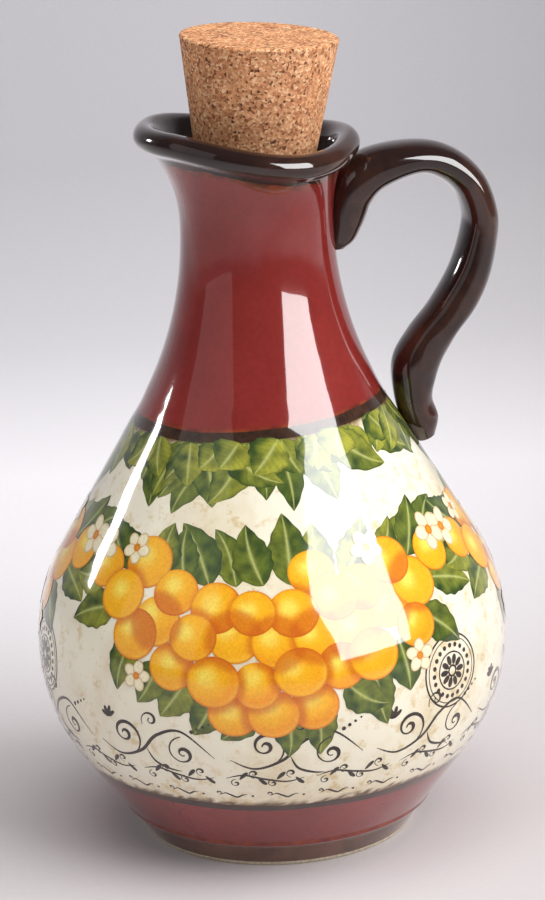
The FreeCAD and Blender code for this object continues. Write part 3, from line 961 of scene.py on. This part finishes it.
def leaf_rows(heading, length, width, light, seed, curl):
    """A pointed leaf with a midrib and side veins, rows of (u, v, paint) points."""
    rows, along_steps, across = [], 36, 20
    for k in range(along_steps + 1):
        share = k / along_steps
        bend = curl * share * share
        angle = math.radians(heading) + bend
        towards = math.radians(heading) + 0.5 * bend
        middle_u = length * share * math.cos(towards)
        middle_v = length * share * math.sin(towards)
        half = 0.5 * width * math.sin(math.pi * share ** 0.8) ** 0.9 if k < along_steps else 0.0
        half = max(half, 0.03)
        row = []
        for step in range(across + 1):
            side = 2.0 * step / across - 1.0
            ripple = 1.0 + 0.05 * math.sin(share * 30.0 + seed) * abs(side) ** 3
            u = middle_u - math.sin(angle) * side * half * ripple
            v = middle_v + math.cos(angle) * side * half * ripple
            patch = noise.noise(Vector((u * 0.35, v * 0.35, seed)))
            row.append((u, v, leaf_tone(share, side, patch, light)))
        rows.append(row)
    return rows


def nib(width):
    """Width of a pen line, never finer than the pen."""
    return max(1.3 * width, 0.2)


def spiral(centre, start_radius, end_radius, start_angle, turns, thick, steps=44, hand=1):
    """A pen flourish that winds in, swelling and thinning with the nib."""
    line = []
    for k in range(steps + 1):
        share = k / steps
        radius = start_radius * (end_radius / start_radius) ** share
        angle = start_angle + hand * turns * 2 * math.pi * share
        swell = 0.25 + 0.75 * math.sin(math.pi * share) * (0.55 + 0.45 * math.sin(angle + 0.7))
        line.append((centre[0] + radius * math.cos(angle), centre[1] + radius * math.sin(angle),
                     nib(thick * swell)))
    return line


def sweep(points, thick, steps=18):
    """A smooth pen line through a few points, thin at both its ends."""
    line, count = [], len(points)
    for k in range(count - 1):
        near = four_near(points, k)
        for step in range(steps):
            share = step / steps
            whole = (k + share) / (count - 1)
            u, v = (eased(*(point[axis] for point in near), share) for axis in (0, 1))
            line.append((u, v, nib(thick * math.sin(math.pi * whole) ** 0.7)))
    return line


# The festoon hangs between two knots, SWAG_SPAN degrees or SWAG_WIDTH mm apart.
SWAG_SPAN, SWAG_WIDTH, SWAG_MIDDLE = 120.0, 138.0, 84.0
SWAG_HALF = 66.0
FRUIT_GAP, ROW_GAP = 12.0, 10.0
LEAF_LAYERS, FRUIT_LAYERS, BLOSSOM_LAYER = 12, 24, 38


def swag_hang(share):
    """Height of the festoon's middle line, from its low point at share 0."""
    return -9.0 + 22.0 * share * share


def swag_thick(share, middle, end):
    return middle * (1.0 - abs(share) ** 1.6) + end


def swag_fruits(rng):
    """Fruits packed in the festoon: (degrees, up, radius), back ones first."""
    fruits = []
    for row in range(-3, 4):
        for column in range(-6, 7):
            across = (column + 0.5 * (row % 2)) * FRUIT_GAP + rng.uniform(-1.7, 1.7)
            share = across / SWAG_HALF
            if abs(share) > 0.93:
                continue
            up = row * ROW_GAP + rng.uniform(-1.9, 1.9)
            if abs(up) > swag_thick(share, 17.5, 3.5):
                continue
            outside = abs(up) + abs(across) * 0.12
            fruits.append((across * SWAG_SPAN / SWAG_WIDTH, up + swag_hang(share),
                           rng.uniform(6.5, 7.7), outside))
    fruits.sort(key=lambda fruit: -fruit[3] - rng.uniform(0.0, 6.0))
    return [fruit[:3] for fruit in fruits]


def flat_place(degrees, up):
    """Rough place of a point of the festoon on one flat plane, in mm."""
    return Vector((degrees * SWAG_WIDTH / SWAG_SPAN, up))


def shadows_on(fruit, later):
    """The later fruits that lie on one: (across, up, reach) in its own radii."""
    degrees, up, radius = fruit
    shadows = []
    for turn, height, reach in later:
        gap = flat_place(turn, height) - flat_place(degrees, up)
        if gap.length < radius + reach:
            shadows.append((gap.x / radius, gap.y / radius, reach / radius))
    return shadows


def draw_swag():
    rng = random.Random(29)
    base = length_at(SWAG_MIDDLE)
    leaves, fruit_art, blossom = FlatArt(), FlatArt(), FlatArt()
    fruits = swag_fruits(rng)
    for k in range(30):
        share = -1.0 + 2.0 * (k + 0.5) / 30
        side = 1.0 if k % 2 == 0 else -1.0
        up = swag_hang(share) + side * swag_thick(share, 16.5, 3.0)
        heading = side * (90.0 - share * 62.0) + rng.uniform(-26, 26)
        length = rng.uniform(17, 24) * (0.85 if side > 0 else 0.8)
        rows = leaf_rows(heading, length, rng.uniform(9.5, 12.5), rng.uniform(0.0, 0.9),
                         rng.uniform(0, 50), rng.uniform(-0.5, 0.5))
        leaves.grid((share * 56.0, base + up - 3.0 * side), rows, (5 * k) % LEAF_LAYERS)
    for index, (degrees, up, radius) in enumerate(fruits):
        light = (rng.uniform(-0.38, -0.12), rng.uniform(0.12, 0.40))
        warm = min(max(0.60 - (up + 9.0) * 0.014 + rng.uniform(-0.30, 0.30), 0.15), 1.0)
        tone = fruit_tone(light, warm, rng.uniform(0, 40),
                          shadows_on(fruits[index], fruits[index + 1:]))
        fruit_art.disc((degrees, base + up), (0.0, 0.0), radius, tone,
                       LEAF_LAYERS + index % FRUIT_LAYERS, squash=rng.uniform(0.92, 1.0))
    for degrees, up, size in ((-57, 13, 0.95), (56, 14, 0.95), (-43, 15, 0.75),
                              (30, 15, 0.8), (-34, -20, 0.7), (37, -18, 0.75)):
        draw_blossom(blossom, (degrees, base + up), size, rng)
    return leaves, fruit_art, blossom


def draw_blossom(art, anchor, size, rng):
    """Five pale petals, darker at the rim, round a golden eye."""
    start = rng.uniform(0.0, 2.0 * math.pi)
    for k in range(5):
        angle = start + 2 * math.pi * k / 5
        art.disc(anchor, on_circle(3.4 * size, angle), 3.1 * size, petal_tone,
                 BLOSSOM_LAYER + k % 3, rings=6, around=24, squash=0.78, tilt=angle)
    art.disc(anchor, (0.0, 0.0), 1.5 * size, eye_tone, BLOSSOM_LAYER + 4, rings=4, around=18)


def paint_sprays():
    for name, art in zip(("painted_leaves", "painted_fruit", "painted_blossom"), draw_swag()):
        for k in range(3):
            art.wrap("%s_%d" % (name, k + 1), PAINT_GLAZE, FRONT + SWAG_SPAN * k)


# Rows of the fringe, the lowest first: leaves in half a turn, length, paleness.
FRINGE_ROWS = ((17, 20.0, 0.05), (16, 16.0, 0.45), (12, 12.0, 0.9))


def paint_leaf_fringe():
    """Leaves that hang all round from the upper line, the pale ones on top."""
    rng = random.Random(12)
    for half in range(2):
        fringe, start = FlatArt(), FRONT + 180.0 * half
        for layer, (count, long, light) in enumerate(FRINGE_ROWS):
            for k in range(count):
                degrees = 180.0 * (k + rng.uniform(0.2, 0.8)) / count
                top = length_at(high_line(start + degrees)) - 0.5
                rows = leaf_rows(-90.0 + rng.uniform(-45, 45), long * rng.uniform(0.55, 1.3),
                                 rng.uniform(8.0, 12.5), min(light + rng.uniform(0.0, 0.4), 1.0),
                                 rng.uniform(0, 50), rng.uniform(-0.5, 0.5))
                fringe.grid((degrees, top), rows, 1 + layer * 3 + k % 3)
        fringe.wrap("leaf_fringe_%d" % (half + 1), PAINT_GLAZE, start)


def draw_scroll(art, anchor):
    """A double scroll on a waving stem, with a sprig at its left and dots at its right."""
    art.pen(anchor, sweep([(-19, -3), (-12, -6), (-4, -3), (2, 3), (10, 5), (19, -3)], 0.75), 1)
    art.pen(anchor, spiral((-9.0, 1.5), 6.4, 0.8, -1.2, 1.7, 1.15), 2)
    art.pen(anchor, spiral((9.5, -2.0), 5.4, 0.7, 1.6, 1.6, 1.0), 3)
    art.pen(anchor, spiral((0.5, 7.5), 3.2, 0.5, -2.6, 1.3, 0.7, hand=-1), 4)
    art.pen(anchor, sweep([(-2, -2), (0, -6), (4, -8), (8, -8.6)], 0.6), 5)
    sprig_u, sprig_v = -14.5, 5.6
    for degrees, reach in ((40, 3.4), (75, 3.8), (110, 3.4), (145, 2.8)):
        u, v = on_circle(reach, math.radians(degrees))
        art.pen(anchor, sweep([(sprig_u, sprig_v), (sprig_u + u, sprig_v + v)], 0.9, 12), 6)
    for k in range(4):
        art.disc(anchor, (13.0 + k * 1.7, 5.4 + 0.9 * k), 0.62 - 0.1 * k, ink_tone, 7,
                 rings=2, around=12)


def draw_vine(art, anchor):
    """A waving stem with tendrils and small leaves, above and below by turns."""
    art.pen(anchor, sweep([(-11, 0), (-6, 1.3), (0, -0.2), (6, -1.3), (11, 0)], 0.55), 1)
    for k in range(4):
        u, side = -8.4 + 5.2 * k, 1 if k % 2 else -1
        art.pen(anchor, spiral((u, 1.9 * side), 1.7, 0.35, -1.57 * side, 1.2, 0.6, 22, -side), 2)
        leaf = [(u + 1.2, 0.3 * side), (u + 2.6, -1.4 * side), (u + 3.6, -2.4 * side)]
        art.pen(anchor, sweep(leaf, 0.95, 8), 3)


def draw_dash(art, anchor):
    dash = [(-4.2, 0), (-2.6, 0.9), (-1, 0), (0.6, -0.8), (2.2, 0.2), (3.6, 0.5)]
    art.pen(anchor, sweep(dash, 0.55, 10), 1)
    art.pen(anchor, spiral((-4.6, 0.9), 1.0, 0.25, -1.4, 1.1, 0.45, 18), 2)
    art.disc(anchor, (5.0, -0.2), 0.42, ink_tone, 3, rings=2, around=10)


def paint_pen_work():
    """Three rows of ink above the lower line, each repeated all round."""
    for name, draw, height, turn, copies in (
            ("pen_scrolls", draw_scroll, 46.0, 5.0, 10), ("pen_vine", draw_vine, 36.6, -3.0, 16),
            ("pen_dashes", draw_dash, 30.4, 2.0, 27)):
        art = FlatArt()
        draw(art, (0.0, length_at(height)))
        art.wrap(name, INK_GLAZE, FRONT + turn, copies, 360.0 / copies)


def paint_rosettes():
    """Round pen-drawn rosettes, one low beside each knot of the festoon."""
    rosette, anchor = FlatArt(), (0.0, length_at(60.0))
    for radius, width in ((10.6, 0.55), (9.4, 0.28), (5.4, 0.45), (1.5, 0.6)):
        rosette.pen(anchor, [(*on_circle(radius, 2 * math.pi * k / 72), width)
                             for k in range(73)], 1)
    for k in range(20):
        rosette.disc(anchor, on_circle(7.4, 2 * math.pi * k / 20), 0.7, ink_tone, 2,
                     rings=2, around=12)
    for k in range(10):
        angle = 2 * math.pi * k / 10
        rosette.pen(anchor, sweep([on_circle(1.8, angle), on_circle(4.9, angle)], 1.3, 14), 3)
    for k in range(3):
        rosette.wrap("pen_rosette_%d" % (k + 1), INK_GLAZE, FRONT + 47.0 + SWAG_SPAN * k)


# --- the cork ----------------------------------------------------------------

CORK_TONES = (
    (0.0, colour(88, 48, 30)), (0.07, colour(140, 84, 50)), (0.20, colour(190, 124, 82)),
    (0.50, colour(214, 150, 104)), (0.80, colour(230, 172, 124)), (0.97, colour(244, 204, 160)))
DARK_CRUMBS = ((0.0, colour(74, 42, 28)), (0.6, colour(120, 74, 48)))
PALE_CRUMBS = ((0.0, colour(222, 172, 128)), (0.6, colour(238, 202, 162)))


def cork_matrix():
    towards = math.radians(CORK_TOWARDS)
    axis = Vector((-math.sin(towards), math.cos(towards), 0.0))
    top = Vector((CORK_SHIFT * math.cos(towards), CORK_SHIFT * math.sin(towards), CORK_TOP_HEIGHT))
    return Matrix.Translation(top * MM) @ Matrix.Rotation(math.radians(CORK_LEAN), 4, axis)


def cork_outline():
    """Half the stopper's outline, from the middle of its top down."""
    taper, nose, edge = math.tan(math.radians(CORK_TAPER)), 0.9, 1.1
    outline = [(CORK_TOP_RADIUS * k / 24, 0.0) for k in range(24)]
    outline += [(CORK_TOP_RADIUS - nose + nose * math.sin(a), -nose + nose * math.cos(a))
                for a in (0.3, 0.7, 1.1, 1.4)]
    side = CORK_LENGTH - 1.0 - edge
    outline += [(CORK_TOP_RADIUS - (edge + side * k / 60) * taper, -edge - side * k / 60)
                for k in range(61)]
    bottom = CORK_TOP_RADIUS - CORK_LENGTH * taper
    outline += [(bottom - 0.3, -CORK_LENGTH + 0.25), (bottom - 0.9, -CORK_LENGTH)]
    outline += [(bottom * k / 8, -CORK_LENGTH) for k in range(7, -1, -1)]
    return outline


def build_cork():
    outline = cork_outline()
    line = profile_line("cork_line", outline)
    width, lengths = 201, [0.0]
    for a, b in zip(outline, outline[1:]):
        lengths.append(lengths[-1] + math.dist(a, b))
    verts = [(2 * math.pi * step / (width - 1), length * MM, 0.0)
             for length in lengths for step in range(width)]
    sheet = new_piece("cork_flat", verts, grid_faces(len(lengths), width), [])
    mesh = WRAP.run(sheet, Profile=line, Copies=1, Step=0.0, Start=0.0, Lift=0.0, Layer=0.0,
                    Finish=cork_finish("pressed_cork", CORK_TONES))
    drop(sheet, line)
    for vertex in mesh.vertices:
        spot = vertex.co / MM
        rough = noise.noise(spot * 0.9) * 0.06 + noise.noise(spot * 2.3) * 0.05
        inward = Vector((spot.x, spot.y, spot.z + 0.5 * CORK_LENGTH)).normalized()
        vertex.co = (spot - inward * max(0.06 + rough, 0.0)) * MM
    mesh.transform(cork_matrix())
    piece = smooth_object("cork_stopper", mesh)
    close_shell(piece)
    finish_piece(piece, "cork", "cork")
    return piece


def scatter_grains(cork, name, tones, density, seed, small, large):
    """Crumbs of cork about a millimetre long, set in the stopper's skin."""
    points = [(1, 0, 0), (-1, 0.1, 0), (0.1, 0.7, 0.1), (-0.1, -0.6, 0), (0.2, 0.1, 0.3),
              (0, 0, -0.3)]
    sides = [(0, 2, 4), (2, 1, 4), (1, 3, 4), (3, 0, 4), (2, 0, 5), (1, 2, 5), (3, 1, 5),
             (0, 3, 5)]
    chip = new_piece(name + "_chip", [Vector(p) * 0.5 * MM for p in points], sides, [])
    chip.data.polygons.foreach_set("use_smooth", [False] * len(sides))
    mesh = GRAINS.run(cork, Chip=chip, Density=density, Seed=seed, Smallest=small, Largest=large,
                      Sink=-0.10 * MM, Finish=cork_finish(name, tones))
    drop(chip)
    finish_piece(put_in_scene(name, mesh), "cork")


# --- stage, camera and lights ------------------------------------------------

CAMERA_DISTANCE, CAMERA_HEIGHT = 0.930, 0.3913
CAMERA_PITCH, CAMERA_YAW, CAMERA_ROLL = 16.69, 0.13, -2.14
VIEW_TURN = FRONT + 90.0
FOCAL_LENGTH, SENSOR = 134.7, 36.0


def turned_view():
    return Matrix.Rotation(math.radians(VIEW_TURN), 4, "Z")


def set_camera():
    pitch, yaw, roll = (math.radians(a) for a in (CAMERA_PITCH, CAMERA_YAW, CAMERA_ROLL))
    ahead = Vector((math.sin(yaw) * math.cos(pitch), math.cos(yaw) * math.cos(pitch),
                    -math.sin(pitch)))
    level = Vector((math.cos(yaw), -math.sin(yaw), 0.0))
    above = level.cross(ahead)
    right = level * math.cos(roll) + above * math.sin(roll)
    top = above * math.cos(roll) - level * math.sin(roll)
    basis = Matrix((right, top, -ahead)).transposed().to_4x4()
    place = Matrix.Translation((0.0, -CAMERA_DISTANCE, CAMERA_HEIGHT))
    data = bpy.data.cameras.new("camera")
    data.sensor_width, data.lens = SENSOR, FOCAL_LENGTH
    camera = put_in_scene("camera", data)
    camera.matrix_world = turned_view() @ place @ basis
    bpy.context.scene.camera = camera


def softbox(name, bearing, elevation, distance, width, height, power, shine=True, fill=True):
    """A panel that looks at the jar. Bearing is seen from the camera's side:
    -90 is at the camera, 0 to the right, 180 to the left."""
    target = Vector((0.0, 0.0, 0.1))
    angle, rise = math.radians(bearing + VIEW_TURN), math.radians(elevation)
    away = Vector((*on_circle(math.cos(rise), angle), math.sin(rise)))
    data = bpy.data.lights.new(name, "AREA")
    data.shape = "RECTANGLE"
    data.size, data.size_y, data.energy = width, height, power
    lamp = put_in_scene(name, data)
    facing = (-away).to_track_quat("-Z", "Y").to_matrix().to_4x4()
    lamp.matrix_world = Matrix.Translation(target + away * distance) @ facing
    lamp.visible_diffuse, lamp.visible_glossy = fill, shine


# The table reaches this far to the sides and the front. Behind the jar it goes
# on for SWEEP_START and then curves up into the backdrop. All in metres.
TABLE_REACH = 6.0
SWEEP_START, SWEEP_CURVE, BACKDROP_TOP = 0.55, 0.5, 2.2
# Paper tones by depth behind the jar, brightened half way back by a painted pool of light.
TABLE_PAPER_AND_PAINTED_LIGHT = ((0.0, colour(212, 206, 207)), (0.35, colour(246, 243, 246)),
               (0.75, colour(196, 194, 198)))


def distance_towards(tree, direction):
    """How far a place lies from the jar's axis in one direction."""
    return add_node(tree, "ShaderNodeVectorMath", {0: object_place(tree), 1: direction},
                    operation="DOT_PRODUCT").outputs["Value"]


def table_finish():
    """Pale grey paper with painted light on it: a painted pool of light makes it palest half way
    back, and painted shade makes it a little darker to the right.
    Seen from behind it is clear, so that the jar shows from all sides."""
    material, tree, shader = start_material("pale_table")
    angle = math.radians(VIEW_TURN)
    depth = distance_towards(tree, (-math.sin(angle), math.cos(angle), 0.0))
    side = distance_towards(tree, (math.cos(angle), math.sin(angle), 0.0))
    paper = two_tone(tree, object_noise(tree, 500.0), grey(0.98, 0.98, 0.98), grey(1.0, 1.0, 1.0))
    # Painted shade: the paper darkens towards the right side.
    painted_right_shade = two_tone(tree, side, grey(1.0, 1.0, 1.0), grey(0.66, 0.65, 0.645), -0.15, 0.25)
    ground = multiply(tree, multiply(tree, tone_ramp(tree, depth, TABLE_PAPER_AND_PAINTED_LIGHT), paper), painted_right_shade)
    wire(tree, shader, {"Base Color": ground, "Roughness": 0.9, "Specular IOR Level": 0.1})
    one_way = add_node(tree, "ShaderNodeMixShader", {
        0: add_node(tree, "ShaderNodeNewGeometry").outputs["Backfacing"],
        1: shader.outputs["BSDF"],
        2: add_node(tree, "ShaderNodeBsdfTransparent").outputs["BSDF"]})
    wire(tree, tree.nodes["Material Output"], {"Surface": one_way.outputs["Shader"]})
    return material


def set_stage():
    """A table that sweeps up into a backdrop."""
    profile = [(-TABLE_REACH, 0.0), (SWEEP_START, 0.0)]
    profile += [(SWEEP_START + SWEEP_CURVE * math.sin(a), SWEEP_CURVE - SWEEP_CURVE * math.cos(a))
                for a in [math.pi / 2 * k / 16 for k in range(1, 17)]]
    profile.append((SWEEP_START + SWEEP_CURVE, BACKDROP_TOP))
    verts = [turned_view() @ Vector((x, y, z)) for y, z in profile
             for x in (-TABLE_REACH, TABLE_REACH)]
    faces = [(2 * k, 2 * k + 1, 2 * k + 3, 2 * k + 2) for k in range(len(profile) - 1)]
    new_piece("table_and_backdrop", verts, faces, [table_finish()])


# The room lights the jar evenly from all sides, mirrors darker than that in
# its glaze, and is brighter where the camera looks past the backdrop.
ROOM_LIGHT, ROOM_REFLECTED, ROOM_SEEN = 0.36, 0.12, 0.60


def set_world():
    world = bpy.data.worlds.new("room")
    world.use_nodes = True
    tree = world.node_tree
    rays = add_node(tree, "ShaderNodeLightPath")
    strength = add_node(tree, "ShaderNodeMapRange", {
        "Value": rays.outputs["Is Glossy Ray"], "To Min": ROOM_LIGHT, "To Max": ROOM_REFLECTED})
    seen = add_node(tree, "ShaderNodeMapRange", {
        "Value": rays.outputs["Is Camera Ray"], "To Min": strength.outputs["Result"],
        "To Max": ROOM_SEEN})
    wire(tree, tree.nodes["Background"], {
        "Color": (0.80, 0.80, 0.82, 1.0), "Strength": seen.outputs["Result"]})
    bpy.context.scene.world = world


# --- put it together ---------------------------------------------------------

build_jug()
build_handle()
paint_leaf_fringe()
paint_sprays()
paint_pen_work()
paint_rosettes()
drop(WALL_LINE)
cork = build_cork()
scatter_grains(cork, "cork_dark_grains", DARK_CRUMBS, 170000.0, 3, 0.3, 0.8)
scatter_grains(cork, "cork_pale_grains", PALE_CRUMBS, 220000.0, 8, 0.3, 0.9)

set_camera()
set_stage()
set_world()
softbox("window_reflection", -40.0, 24.0, 1.1, 0.80, 0.74, 23.0, fill=False)
softbox("key_panel", -24.0, 36.0, 1.4, 1.4, 1.3, 23.0, shine=False)
softbox("left_strip", 157.0, 18.0, 1.1, 0.12, 0.17, 1.9, fill=False)
softbox("left_panel", -150.0, 23.0, 1.3, 1.1, 1.1, 1.6)
softbox("right_panel", 22.0, 23.0, 1.3, 0.9, 1.1, 2.4, shine=False)
softbox("top_box", -90.0, 78.0, 1.2, 1.2, 1.0, 7.5, shine=False)
bpy.context.scene.view_settings.view_transform = "Standard"
